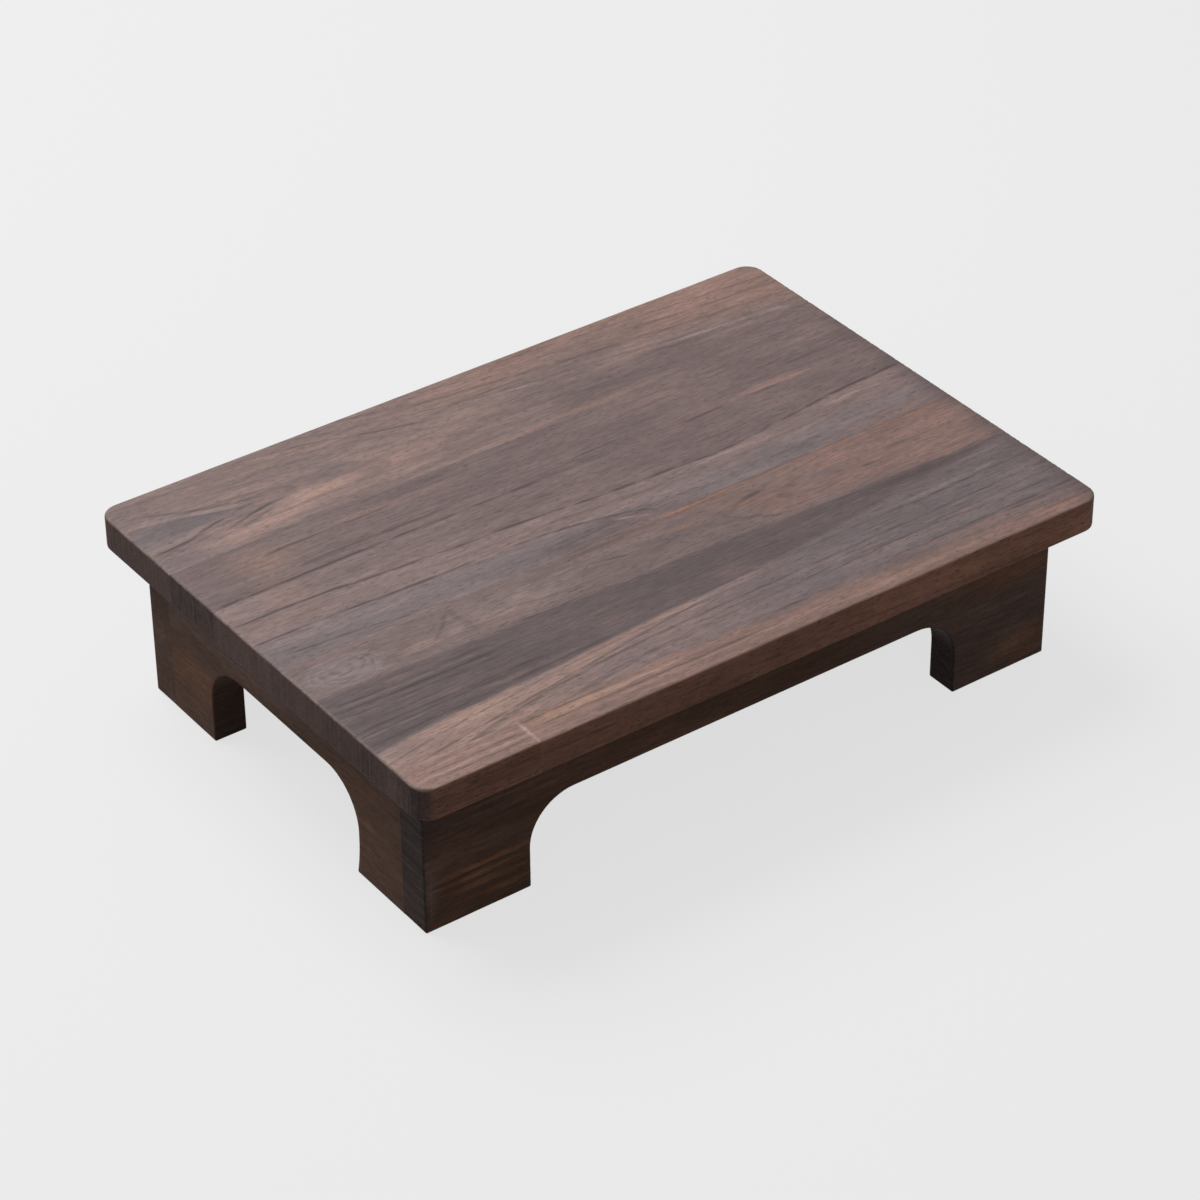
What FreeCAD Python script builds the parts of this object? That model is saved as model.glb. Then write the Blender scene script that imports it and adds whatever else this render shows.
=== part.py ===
import FreeCAD, Part
import math
import os

# A low solid-wood floor table: an edge-glued top on a base of four arched boards.
# Millimetres. X runs along the length, Y from the front edge to the back edge, Z up from the floor.
# The origin is on the floor, under the middle of the top.

# Top: staves edge to edge with the grain along X
TOP_LENGTH = 400.0
TOP_WIDTH = 280.0
TOP_THICKNESS = 18.0
TOP_CORNER_RADIUS = 10.0
TOP_EASE = 1.2

# Widths of the middle staves, from the back forwards; the stave along the back edge takes what is left
MIDDLE_STAVES = (
    ("stave_2", 39.0),
    ("stave_3", 58.0),
    ("stave_4", 35.0),
    ("stave_5", 61.0),
)

# The stave along the front edge is in two lengths that meet end to end
FRONT_STAVE_WIDTH = 19.0
FRONT_STAVE_SHORT_LENGTH = 65.0

# Base: two long rails with the end panels between them, all sawn from one board thickness
BASE_HEIGHT = 82.0
BOARD_THICKNESS = 18.0
END_OVERHANG = 13.5
SIDE_OVERHANG = 21.0
BOARD_EASE = 0.8

# Arches sawn out of the lower edges; what is left beside an arch is a foot
RAIL_FOOT = 59.0
RAIL_ARCH_HEIGHT = 47.5
RAIL_ARCH_RADIUS = 25.0
PANEL_FOOT = 37.0
PANEL_ARCH_HEIGHT = 50.0
PANEL_ARCH_RADIUS = 25.0

# The front foot of an end panel spreads a little towards the floor, below a short straight
TOE_SPREAD = 2.5
TOE_STRAIGHT = 3.0

# Fluted dowels through the butt joints at the corners
DOWEL_RADIUS = 4.0
DOWEL_LENGTH = 30.0
DOWEL_DEPTH_IN_RAIL = 12.0
DOWEL_CHAMFER = 0.8
DOWEL_LOW = 24.0
DOWEL_SPACING = 34.0
FLUTE_COUNT = 12
FLUTE_RADIUS = 0.4

# Blocks in the inside corners, flush with the top of the base
BLOCK_SIDE = 28.0
BLOCK_HEIGHT = 30.0
BLOCK_CHAMFER = 2.0

# Round-headed screws up through the blocks, in holes wide enough for the top to swell and shrink
TOP_SCREW_RADIUS = 2.0
TOP_SCREW_LENGTH = 40.0
TOP_SCREW_SHANK = 20.0
TOP_SCREW_HEAD_RADIUS = 4.2
TOP_SCREW_HEAD_HEIGHT = 2.8
TOP_SCREW_HEAD_BRIM = 1.7
SWELLING_GAP = 0.7

# Countersunk screws from the blocks into the rails and the end panels
BLOCK_SCREW_RADIUS = 1.75
BLOCK_SCREW_LENGTH = 40.0
BLOCK_SCREW_SHANK = 4.0
BLOCK_SCREW_HEAD_RADIUS = 3.5
BLOCK_SCREW_HEAD_HEIGHT = 2.0
BLOCK_SCREW_INSET = 6.5
RAIL_SCREW_DROP = 21.0
PANEL_SCREW_DROP = 9.0

# Screw details that both kinds share
THREAD_PITCH = 1.6
THREAD_DEPTH = 0.5
POINT_LENGTH = 4.0
RECESS_WIDTH = 1.0
RECESS_SPAN = 4.2
RECESS_DEPTH = 1.6

# Fits: the radial room around dowels and screws, and the room past their ends
FIT = 0.05
END_ROOM = 1.0
SAME = 0.001

Vector = FreeCAD.Vector
ORIGIN = Vector(0, 0, 0)
ALONG_X = Vector(1, 0, 0)
ALONG_Y = Vector(0, 1, 0)
UP = Vector(0, 0, 1)

BACK_STAVE_WIDTH = TOP_WIDTH - FRONT_STAVE_WIDTH - sum(width for name, width in MIDDLE_STAVES)
TOTAL_HEIGHT = BASE_HEIGHT + TOP_THICKNESS
BASE_LENGTH = TOP_LENGTH - 2 * END_OVERHANG
BASE_WIDTH = TOP_WIDTH - 2 * SIDE_OVERHANG
BASE_END = BASE_LENGTH / 2
BASE_SIDE = BASE_WIDTH / 2
INNER_END = BASE_END - BOARD_THICKNESS
INNER_SIDE = BASE_SIDE - BOARD_THICKNESS
RAIL_ARCH_HALF = BASE_END - RAIL_FOOT
PANEL_ARCH_HALF = INNER_SIDE - PANEL_FOOT
BLOCK_X = INNER_END - BLOCK_SIDE / 2
BLOCK_Y = INNER_SIDE - BLOCK_SIDE / 2
BLOCK_BOTTOM = BASE_HEIGHT - BLOCK_HEIGHT
CORNERS = (("front_left", -1, -1), ("front_right", 1, -1), ("back_left", -1, 1), ("back_right", 1, 1))


def box(low, high):
    """A block between two opposite corners"""
    size = high - low
    return Part.makeBox(size.x, size.y, size.z, low)


def board_from(edges, push):
    """A board sawn to a closed outline and as thick as the push"""
    return Part.Face(Part.Wire(edges)).extrude(push)


def line(start, end):
    return Part.LineSegment(start, end).toShape()


def arc(start, middle, end):
    return Part.Arc(start, middle, end).toShape()


def eased(board, radius, wanted):
    """The board with a small round along every wanted edge"""
    return board.makeFillet(radius, [edge for edge in board.Edges if wanted(edge.BoundBox)])


def within(value, target):
    return abs(value - target) < SAME


def arched_outline(half_length, arch_half, arch_height, radius, toe, point):
    """Edges of a board with an arch in its lower edge; point(u, z) puts them in their plane"""
    corner = arch_half - radius
    spring = arch_height - radius
    slant = radius * math.sqrt(0.5)
    if toe > 0:
        toe_height = spring - TOE_STRAIGHT
        toe_radius = (toe_height ** 2 + toe ** 2) / (2 * toe)
        half_way = toe_radius - math.sqrt(toe_radius ** 2 - (toe_height / 2) ** 2)
        near_side = [
            line(point(-arch_half, spring), point(-arch_half, toe_height)),
            arc(
                point(-arch_half, toe_height),
                point(half_way - arch_half, toe_height / 2),
                point(toe - arch_half, 0),
            ),
        ]
    else:
        near_side = [line(point(-arch_half, spring), point(-arch_half, 0))]
    return [
        line(point(-half_length, 0), point(-half_length, BASE_HEIGHT)),
        line(point(-half_length, BASE_HEIGHT), point(half_length, BASE_HEIGHT)),
        line(point(half_length, BASE_HEIGHT), point(half_length, 0)),
        line(point(half_length, 0), point(arch_half, 0)),
        line(point(arch_half, 0), point(arch_half, spring)),
        arc(
            point(arch_half, spring),
            point(corner + slant, spring + slant),
            point(corner, arch_height),
        ),
        line(point(corner, arch_height), point(-corner, arch_height)),
        arc(
            point(-corner, arch_height),
            point(-corner - slant, spring + slant),
            point(-arch_half, spring),
        ),
        *near_side,
        line(point(toe - arch_half, 0), point(-half_length, 0)),
    ]


def screw(length, radius, head, flat, shank):
    """A wood screw along Z; head is its outline from the middle of the flat to the shank"""
    core = radius - THREAD_DEPTH
    outline = list(head) + [(core, shank)]
    turns = int((length - POINT_LENGTH - shank) / THREAD_PITCH)
    for turn in range(turns):
        foot = shank + turn * THREAD_PITCH
        outline.append((radius, foot + THREAD_PITCH / 2))
        outline.append((core, foot + THREAD_PITCH))
    if length - POINT_LENGTH - foot - THREAD_PITCH > SAME:
        outline.append((core, length - POINT_LENGTH))
    outline.append((0, length))
    points = [Vector(across, 0, along) for across, along in outline]
    body = Part.Face(Part.makePolygon(points + points[:1])).revolve(ORIGIN, UP, 360)
    for span_x, span_y in ((RECESS_SPAN, RECESS_WIDTH), (RECESS_WIDTH, RECESS_SPAN)):
        low = Vector(-span_x / 2, -span_y / 2, flat - SAME)
        body = body.cut(box(low, Vector(span_x / 2, span_y / 2, flat + RECESS_DEPTH)))
    return body


def fluted_dowel():
    """A chamfered dowel along Z with grooves for the glue"""
    dowel = Part.makeCylinder(DOWEL_RADIUS - FIT, DOWEL_LENGTH)
    dowel = dowel.makeChamfer(DOWEL_CHAMFER, [edge for edge in dowel.Edges if edge.BoundBox.ZLength < SAME])
    grooves = []
    for index in range(FLUTE_COUNT):
        turn = 2 * math.pi * index / FLUTE_COUNT
        middle = Vector(DOWEL_RADIUS * math.cos(turn), DOWEL_RADIUS * math.sin(turn), 0)
        grooves.append(Part.makeCylinder(FLUTE_RADIUS, DOWEL_LENGTH, middle))
    return dowel.cut(Part.makeCompound(grooves))


def placed(shape, start, direction):
    """A copy of a piece drawn along Z, moved to its start and turned to its direction"""
    copy = shape.copy()
    copy.Placement = FreeCAD.Placement(start, FreeCAD.Rotation(UP, direction))
    return copy


# Top: one panel with rounded corners and eased edges, ripped at the glue lines
top_low = Vector(-TOP_LENGTH / 2, -TOP_WIDTH / 2, BASE_HEIGHT)
top_high = Vector(TOP_LENGTH / 2, TOP_WIDTH / 2, TOTAL_HEIGHT)
panel = box(top_low, top_high)
panel = eased(panel, TOP_CORNER_RADIUS, lambda span: within(span.ZLength, TOP_THICKNESS))
panel = eased(panel, TOP_EASE, lambda span: span.ZLength < SAME)

pieces = {}
stave_back = top_high.y
for name, width in (("back_edge_stave", BACK_STAVE_WIDTH), *MIDDLE_STAVES):
    low = Vector(top_low.x, stave_back - width, BASE_HEIGHT)
    pieces[name] = panel.common(box(low, Vector(top_high.x, stave_back, TOTAL_HEIGHT)))
    stave_back -= width
cross_joint = top_low.x + FRONT_STAVE_SHORT_LENGTH
pieces["front_edge_stave_short"] = panel.common(box(top_low, Vector(cross_joint, stave_back, TOTAL_HEIGHT)))
long_low = Vector(cross_joint, top_low.y, BASE_HEIGHT)
pieces["front_edge_stave_long"] = panel.common(box(long_low, Vector(top_high.x, stave_back, TOTAL_HEIGHT)))
stave_names = tuple(pieces)

# Front rail: full length of the base, eased where a hand or the floor meets it
rail = board_from(
    arched_outline(
        BASE_END, RAIL_ARCH_HALF, RAIL_ARCH_HEIGHT, RAIL_ARCH_RADIUS, 0,
        lambda along, height: Vector(along, -BASE_SIDE, height),
    ),
    Vector(0, BOARD_THICKNESS, 0),
)


def eased_on_rail(span):
    if span.ZMin > BASE_HEIGHT - SAME:
        return False
    in_arch = span.XMin > -RAIL_ARCH_HALF - SAME and span.XMax < RAIL_ARCH_HALF + SAME
    on_outer_face = span.YMax < -BASE_SIDE + SAME
    on_inner_arch = in_arch and span.YMin > -INNER_SIDE - SAME
    under_end = span.ZMax < SAME and span.XLength < SAME
    return on_outer_face or on_inner_arch or under_end


rail = eased(rail, BOARD_EASE, eased_on_rail)

# Left end panel: between the rails, its outer face flush with their ends
end_panel = board_from(
    arched_outline(
        INNER_SIDE, PANEL_ARCH_HALF, PANEL_ARCH_HEIGHT, PANEL_ARCH_RADIUS, TOE_SPREAD,
        lambda along, height: Vector(-BASE_END, along, height),
    ),
    Vector(BOARD_THICKNESS, 0, 0),
)


def eased_on_panel(span):
    if span.ZMax > BASE_HEIGHT - SAME:
        return False
    at_joint = span.YMax < -INNER_SIDE + SAME or span.YMin > INNER_SIDE - SAME
    in_arch = span.YMin > -PANEL_ARCH_HALF - SAME and span.YMax < PANEL_ARCH_HALF + SAME
    on_outer_face = span.XMax < -BASE_END + SAME
    under_foot = span.ZMax < SAME and span.YLength < SAME
    on_inner_arch = in_arch and span.XMin > -INNER_END - SAME
    return not at_joint and (on_outer_face or on_inner_arch or under_foot)


end_panel = eased(end_panel, BOARD_EASE, eased_on_panel)

# Dowel holes in the front rail's inner face and in the end panel's two ends
panel_middle = INNER_END + BOARD_THICKNESS / 2
rail_depth = DOWEL_DEPTH_IN_RAIL + END_ROOM
panel_depth = DOWEL_LENGTH - DOWEL_DEPTH_IN_RAIL + END_ROOM
dowel_heights = (DOWEL_LOW, DOWEL_LOW + DOWEL_SPACING)
for height in dowel_heights:
    for side in (-1, 1):
        mouth = Vector(side * panel_middle, -INNER_SIDE, height)
        rail = rail.cut(Part.makeCylinder(DOWEL_RADIUS, rail_depth, mouth, -ALONG_Y))
        mouth = Vector(-panel_middle, side * INNER_SIDE, height)
        end_panel = end_panel.cut(Part.makeCylinder(DOWEL_RADIUS, panel_depth, mouth, ALONG_Y * -side))

# Screw holes for the blocks, in the front rail's inner face and in the end panel's
screw_hole = BLOCK_SCREW_RADIUS + FIT
hold = BLOCK_SCREW_LENGTH - BLOCK_SIDE + END_ROOM
rail_screw_x = BLOCK_X - BLOCK_SIDE / 2 + BLOCK_SCREW_INSET
panel_screw_y = BLOCK_Y - BLOCK_SIDE / 2 + BLOCK_SCREW_INSET
for side in (-1, 1):
    mouth = Vector(side * rail_screw_x, -INNER_SIDE, BASE_HEIGHT - RAIL_SCREW_DROP)
    rail = rail.cut(Part.makeCylinder(screw_hole, hold, mouth, -ALONG_Y))
    mouth = Vector(-INNER_END, side * panel_screw_y, BASE_HEIGHT - PANEL_SCREW_DROP)
    end_panel = end_panel.cut(Part.makeCylinder(screw_hole, hold, mouth, -ALONG_X))

pieces["front_rail"] = rail
pieces["back_rail"] = rail.mirror(ORIGIN, ALONG_Y)
pieces["left_end_panel"] = end_panel
pieces["right_end_panel"] = end_panel.mirror(ORIGIN, ALONG_X)

# Corner blocks, dowels and screws, corner by corner
dowel = fluted_dowel()
round_head = (
    (0, -TOP_SCREW_HEAD_HEIGHT),
    (TOP_SCREW_HEAD_RADIUS - TOP_SCREW_HEAD_HEIGHT + TOP_SCREW_HEAD_BRIM, -TOP_SCREW_HEAD_HEIGHT),
    (TOP_SCREW_HEAD_RADIUS, -TOP_SCREW_HEAD_BRIM),
    (TOP_SCREW_HEAD_RADIUS, 0),
    (TOP_SCREW_RADIUS - THREAD_DEPTH, 0),
)
sunk_head = (
    (0, 0),
    (BLOCK_SCREW_HEAD_RADIUS, 0),
    (BLOCK_SCREW_RADIUS - THREAD_DEPTH, BLOCK_SCREW_HEAD_HEIGHT),
)
top_screw = screw(TOP_SCREW_LENGTH, TOP_SCREW_RADIUS, round_head, -TOP_SCREW_HEAD_HEIGHT, TOP_SCREW_SHANK)
block_screw = screw(BLOCK_SCREW_LENGTH, BLOCK_SCREW_RADIUS, sunk_head, 0, BLOCK_SCREW_SHANK)
top_screws = []
block_screws = []
top_hold = TOP_SCREW_LENGTH - BLOCK_HEIGHT + END_ROOM
for corner, end, side in CORNERS:
    outward_x = ALONG_X * end
    outward_y = ALONG_Y * side
    half = BLOCK_SIDE / 2
    low = Vector(end * BLOCK_X - half, side * BLOCK_Y - half, BLOCK_BOTTOM)
    high = Vector(end * BLOCK_X + half, side * BLOCK_Y + half, BASE_HEIGHT)
    block = box(low, high)
    inner_edge = Vector(end * (BLOCK_X - half), side * (BLOCK_Y - half), 0)
    block = block.makeChamfer(
        BLOCK_CHAMFER,
        [
            edge
            for edge in block.Edges
            if within(edge.BoundBox.ZLength, BLOCK_HEIGHT)
            and within(edge.BoundBox.XMin, inner_edge.x)
            and within(edge.BoundBox.YMin, inner_edge.y)
        ],
    )

    middle = Vector(end * BLOCK_X, side * BLOCK_Y, BLOCK_BOTTOM)
    block = block.cut(Part.makeCylinder(TOP_SCREW_RADIUS + SWELLING_GAP, BLOCK_HEIGHT, middle, UP))
    top_screws.append(placed(top_screw, middle, UP))
    under_top = Vector(middle.x, middle.y, BASE_HEIGHT)
    pilot = Part.makeCylinder(TOP_SCREW_RADIUS + FIT, top_hold, under_top, UP)
    for name in stave_names:
        if pieces[name].BoundBox.intersect(pilot.BoundBox):
            pieces[name] = pieces[name].cut(pilot)

    into_rail = Vector(end * rail_screw_x, inner_edge.y, BASE_HEIGHT - RAIL_SCREW_DROP)
    into_panel = Vector(inner_edge.x, side * panel_screw_y, BASE_HEIGHT - PANEL_SCREW_DROP)
    for start, direction in ((into_rail, outward_y), (into_panel, outward_x)):
        block = block.cut(Part.makeCylinder(screw_hole, BLOCK_SIDE, start, direction))
        sink = Part.makeCone(
            BLOCK_SCREW_HEAD_RADIUS + FIT, screw_hole, BLOCK_SCREW_HEAD_HEIGHT, start, direction
        )
        block = block.cut(sink)
        block_screws.append(placed(block_screw, start, direction))

    dowels = []
    for height in dowel_heights:
        rail_end = INNER_SIDE + DOWEL_DEPTH_IN_RAIL
        dowels.append(placed(dowel, Vector(end * panel_middle, side * rail_end, height), -outward_y))
    pieces[corner + "_corner_block"] = block
    pieces[corner + "_dowels"] = Part.makeCompound(dowels)

pieces["block_screws"] = Part.makeCompound(block_screws)
pieces["top_screws"] = Part.makeCompound(top_screws)

os.makedirs("parts", exist_ok=True)
for name, shape in pieces.items():
    print(name, len(shape.Solids), shape.isValid(), round(shape.Volume))
    shape.exportStep("parts/" + name + ".step")
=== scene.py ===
# %% [markdown]
# # A low table of brushed wood
# The table stands on a plain pale floor. Its top is glued up from staves, and its base is four
# boards with arched lower edges. The imported model gives every piece its place, and this script gives the pieces
# their worked edges, their brushed surface and their colour.

# %% Load the imported model
import math
from dataclasses import dataclass

import bmesh
import bpy
from mathutils import Color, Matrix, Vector, noise


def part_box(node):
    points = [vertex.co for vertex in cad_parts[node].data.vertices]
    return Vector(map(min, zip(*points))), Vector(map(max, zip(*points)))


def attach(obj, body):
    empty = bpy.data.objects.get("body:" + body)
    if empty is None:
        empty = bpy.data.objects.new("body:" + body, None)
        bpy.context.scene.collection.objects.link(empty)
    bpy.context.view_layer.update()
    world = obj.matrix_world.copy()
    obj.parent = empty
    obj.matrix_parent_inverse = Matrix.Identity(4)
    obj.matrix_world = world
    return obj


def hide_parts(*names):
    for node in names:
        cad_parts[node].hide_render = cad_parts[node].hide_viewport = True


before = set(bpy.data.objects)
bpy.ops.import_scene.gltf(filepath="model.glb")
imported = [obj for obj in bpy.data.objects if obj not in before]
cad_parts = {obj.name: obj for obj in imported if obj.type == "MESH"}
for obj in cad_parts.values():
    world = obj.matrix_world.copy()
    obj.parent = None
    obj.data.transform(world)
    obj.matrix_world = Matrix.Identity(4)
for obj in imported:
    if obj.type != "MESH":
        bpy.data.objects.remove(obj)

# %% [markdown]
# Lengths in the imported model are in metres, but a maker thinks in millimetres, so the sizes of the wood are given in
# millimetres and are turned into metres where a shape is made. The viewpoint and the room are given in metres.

MM = 0.001
X, Y, Z = 0, 1, 2
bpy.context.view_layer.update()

# %% [markdown]
# The table is looked at from its front left corner and from well above, through a long lens, so that its sides
# stay nearly parallel.

# %% Viewpoint
VIEW_TURN = math.radians(-36.625)
VIEW_RISE = math.radians(35.332)
VIEW_DISTANCE = 2.0656
VIEW_TARGET = Vector((0.0408, 0.0148, 0.0))
LENS = 122.35
SENSOR_WIDTH = 36.0
FRAME_SHIFT = (-0.0421, 0.0232)

towards_viewer = Vector((
    math.sin(VIEW_TURN) * math.cos(VIEW_RISE),
    -math.cos(VIEW_TURN) * math.cos(VIEW_RISE),
    math.sin(VIEW_RISE),
))
scene = bpy.context.scene
viewpoint = bpy.data.objects.new("viewpoint", bpy.data.cameras.new("viewpoint"))
viewpoint.data.sensor_width = SENSOR_WIDTH
viewpoint.data.lens = LENS
viewpoint.data.shift_x, viewpoint.data.shift_y = FRAME_SHIFT
viewpoint.location = VIEW_TARGET + VIEW_DISTANCE * towards_viewer
viewpoint.rotation_mode = "QUATERNION"
viewpoint.rotation_quaternion = (-towards_viewer).to_track_quat("-Z", "Y")
scene.collection.objects.link(viewpoint)
scene.camera = viewpoint
scene.view_settings.view_transform = "Standard"
print("viewpoint at", [round(value, 3) for value in viewpoint.location])

# %% [markdown]
# Finishes are built from shader nodes. These few helpers keep each finish readable: they add a node and wire it, do
# sums, ease a value from one range to another, mix colours and start a finish.

# %% Helpers for finishes
def fill(net, node, inputs):
    """Fills a node's inputs with values or with other nodes' outputs"""
    for key, value in inputs.items():
        if isinstance(value, bpy.types.NodeSocket):
            net.links.new(value, node.inputs[key])
        else:
            node.inputs[key].default_value = value


def add(net, kind, inputs=None, **settings):
    """Adds one shader node, sets its options and fills its inputs"""
    node = net.nodes.new("ShaderNode" + kind)
    for key, value in settings.items():
        setattr(node, key, value)
    fill(net, node, inputs or {})
    return node


def sums(net, operation, *values):
    return add(net, "Math", dict(enumerate(values)), operation=operation).outputs[0]


def times(net, product, *others):
    for value in others:
        product = sums(net, "MULTIPLY", product, value)
    return product


def less(net, first, second):
    return sums(net, "SUBTRACT", first, second)


def eased(net, value, low, high, at_low=0.0, at_high=1.0):
    inputs = {"Value": value, "From Min": low, "From Max": high, "To Min": at_low, "To Max": at_high}
    return add(net, "MapRange", inputs, interpolation_type="SMOOTHSTEP").outputs["Result"]


def mixed(net, share, first, second, mode="MIX"):
    inputs = {0: share, 6: first, 7: second}
    return add(net, "Mix", inputs, data_type="RGBA", blend_type=mode).outputs[2]


def tint(red, green, blue):
    """A colour as a paint chart gives it, 0 to 255, made ready for a shader"""
    return (*Color((red / 255, green / 255, blue / 255)).from_srgb_to_scene_linear(), 1.0)


def new_finish(name):
    finish = bpy.data.materials.new(name)
    finish.use_nodes = True
    return finish, finish.node_tree, finish.node_tree.nodes["Principled BSDF"]


# %% [markdown]
# The room is a pale one. The floor and the far walls look near white, while the light that they throw back on the
# table is held down, so that the sides of the base stay darker than the top. Most of the floor's brightness is its
# own, and the rest takes the table's shadow, which is soft and faint.

# %% Room, floor and lamp
PALE = 0.831
ROOM_LIGHT = 0.31
FLOOR_BOUNCE = 0.25
FLOOR_GLOW = 0.85
FLOOR_HALF = 6.0
FLOOR_DROP = 0.2 * MM  # keeps the floor clear of the feet


def grey(value):
    return (value, value, value, 1.0)


def looked_at(net):
    """1 where the eye, a gloss or a clear material looks at a surface, 0 where light only bounces off it"""
    path = add(net, "LightPath").outputs
    seen = sums(net, "MAXIMUM", path["Is Camera Ray"], path["Is Glossy Ray"])
    return sums(net, "MAXIMUM", seen, path["Is Transmission Ray"])


room = bpy.data.worlds.new("pale_room")
room.use_nodes = True
backdrop = room.node_tree.nodes["Background"]
strength = eased(room.node_tree, looked_at(room.node_tree), 0.0, 1.0, ROOM_LIGHT, PALE)
fill(room.node_tree, backdrop, {"Color": grey(1.0), "Strength": strength})
scene.world = room

floor_finish, net, floor_shader = new_finish("pale_floor")
seen_floor = looked_at(net)
fill(net, floor_shader, {
    "Roughness": 1.0, "Specular IOR Level": 0.0,
    "Base Color": mixed(net, seen_floor, grey(FLOOR_BOUNCE), grey(PALE * (1 - FLOOR_GLOW))),
    "Emission Color": grey(1.0), "Emission Strength": times(net, seen_floor, PALE * FLOOR_GLOW),
})

floor_sheet = bmesh.new()
bmesh.ops.create_grid(floor_sheet, x_segments=4, y_segments=4, size=FLOOR_HALF)
floor_mesh = bpy.data.meshes.new("floor")
floor_sheet.to_mesh(floor_mesh)
floor_sheet.free()
floor_mesh.materials.append(floor_finish)
floor = bpy.data.objects.new("floor", floor_mesh)
floor.location.z = -FLOOR_DROP
scene.collection.objects.link(floor)

LAMP_PLACE = Vector((-0.42, 1.2, 2.0))
LAMP_SIZE = 1.8
LAMP_POWER = 56.0
lamp = bpy.data.objects.new("window", bpy.data.lights.new("window", "AREA"))
lamp.data.shape = "SQUARE"
lamp.data.size = LAMP_SIZE
lamp.data.energy = LAMP_POWER
lamp.location = LAMP_PLACE
lamp.rotation_mode = "QUATERNION"
lamp.rotation_quaternion = (-LAMP_PLACE).to_track_quat("-Z", "Y")
scene.collection.objects.link(lamp)
print("room light", ROOM_LIGHT, "window", LAMP_POWER, "W")

# %% [markdown]
# What gives flat-sawn wood its figure is where the board lay in the trunk. Near the middle of the trunk the saw runs
# almost along the rings, and they come out as long pointed loops; far from it they come out as straight lines. So a
# board's figure is described by the path of the tree's centre beside it: how far across, and how deep under the show
# face. Every ring is then a line of equal distance from that path, exactly as in the tree. On top of the rings come
# the things that differ from board to board: where the colour changes, the few bold veins and the light places.

# %% How a board lay in the tree
@dataclass
class Shade:
    """A change of colour on one side of a line drawn along the board, in mm"""
    line: list  # (along, across) points
    side: int  # 1: the colour lies above the line, -1: below it
    feather: float  # how softly the colour begins
    colour: tuple
    grows: tuple = None  # places between which the colour comes in


@dataclass
class Vein:
    """A single bold line in the figure, in mm"""
    line: list  # (along, across) points
    width: float
    strength: float
    colour: tuple = None  # dark unless another colour is given
    turned: bool = False  # across the grain, with (across, along) points


@dataclass
class Figure:
    """Figure of one board, in mm"""
    grain: tuple  # axes along the grain, across it and into the board
    face: float  # where the show face lies on the third axis
    inward: float  # 1 or -1: the way into the board from the show face
    centre: list  # (along, across) points on the path of the tree's centre
    below: list  # (along, depth under the show face) points on the same path
    ring: float  # width of a year's ring
    colour: tuple
    seed: float  # makes one board's small marks differ from the next
    lines: float = 0.55  # how dark the ring lines are
    wander: float = 3.0  # how far a ring strays from its line
    end_dark: float = 0.6  # how dark the end grain is
    shades: tuple = ()
    veins: tuple = ()
    patches: tuple = ()  # (along, across, half length, half width, strength, colour) of warm or cool places
    knots: tuple = ()  # (along, across, half length, half width) of branches grown over


# %% [markdown]
# A line along a board is drawn by a curve node: a place along the board goes in, and how far across the line lies
# there comes out. The small marks of the wood are noise drawn out along the grain, each kind to its own length.

# %% Lines and marks on a board
REACH = 200.0  # the longest board reaches this far either way from its middle, mm
CURVE_ROOM = 5.0  # room above and below a line, mm
# Small marks: length and width in mm, a number that sets each kind apart, and how much detail it has
STRAY = (110, 18, 1, 2.0)
FIBRE = (13, 0.9, 2, 3.0)
STREAK = (130, 5, 3, 2.0)
CLOUD = (55, 14, 4, 3.0)
PORE = (4, 0.6, 5, 1.0)
BREAK = (16, 3.0, 6, 2.0)
END_LINE = (30, 1.8, 7, 2.0)
MOTTLE = (5, 2.6, 8, 2.0)


def drift(net, along, points):
    """A smooth path through points, as a node and as something that can be asked for a value"""
    low = min(value for _, value in points) - CURVE_ROOM
    high = max(value for _, value in points) + CURVE_ROOM
    node = add(net, "FloatCurve", {"Value": sums(net, "MULTIPLY_ADD", along, 0.5 / REACH, 0.5)})
    curve = node.mapping.curves[0]
    for index, (place, value) in enumerate(points):
        spot = ((place + REACH) / (2 * REACH), (value - low) / (high - low))
        if index < 2:
            curve.points[index].location = spot
        else:
            curve.points.new(*spot)
    node.mapping.update()
    path = sums(net, "MULTIPLY_ADD", node.outputs[0], high - low, low)

    def ask(place):
        return low + (high - low) * node.mapping.evaluate(curve, (place + REACH) / (2 * REACH))

    return path, ask


def marks(net, place, axis, kind, seed=0.0):
    """Noise drawn out along one axis"""
    length, width, shift, detail = kind
    scale = [1 / width] * 3
    scale[axis] = 1 / length
    offset = [seed * turn + shift * step for turn, step in ((7.3, 3.1), (3.7, 5.9), (5.1, 1.7))]
    where = add(net, "Mapping", {"Vector": place, "Location": offset, "Scale": scale}).outputs[0]
    return add(net, "TexNoise", {"Vector": where, "Scale": 1.0, "Detail": detail}).outputs["Fac"]


def millimetres(net):
    """Places on a piece, in mm"""
    place = add(net, "TexCoord").outputs["Object"]
    return add(net, "VectorMath", {0: place, "Scale": 1 / MM}, operation="SCALE").outputs[0]


def length_of(net, first, second):
    arms = add(net, "CombineXYZ", {0: first, 1: second, 2: 0.0}).outputs[0]
    return add(net, "VectorMath", {0: arms}, operation="LENGTH").outputs["Value"]


# %% [markdown]
# How far a place lies from the tree's centre, counted in ring widths, gives its year, and the fraction gives the
# season. Late wood is the dark line at the end of a season. Some years are bolder than others, and a line breaks up
# along the grain. The brushing, further on, asks the same sum how hard the wood is at a place.

# %% Rings
RING_NOISE = 0.22  # how quickly the width of the rings changes
RING_UNEVEN = 3.0  # how much it changes, in years
EARLY, TO_LATE, BACK = 0.3, 0.5, 0.15  # shares of a year: early wood, turning to late wood, and back


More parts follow.
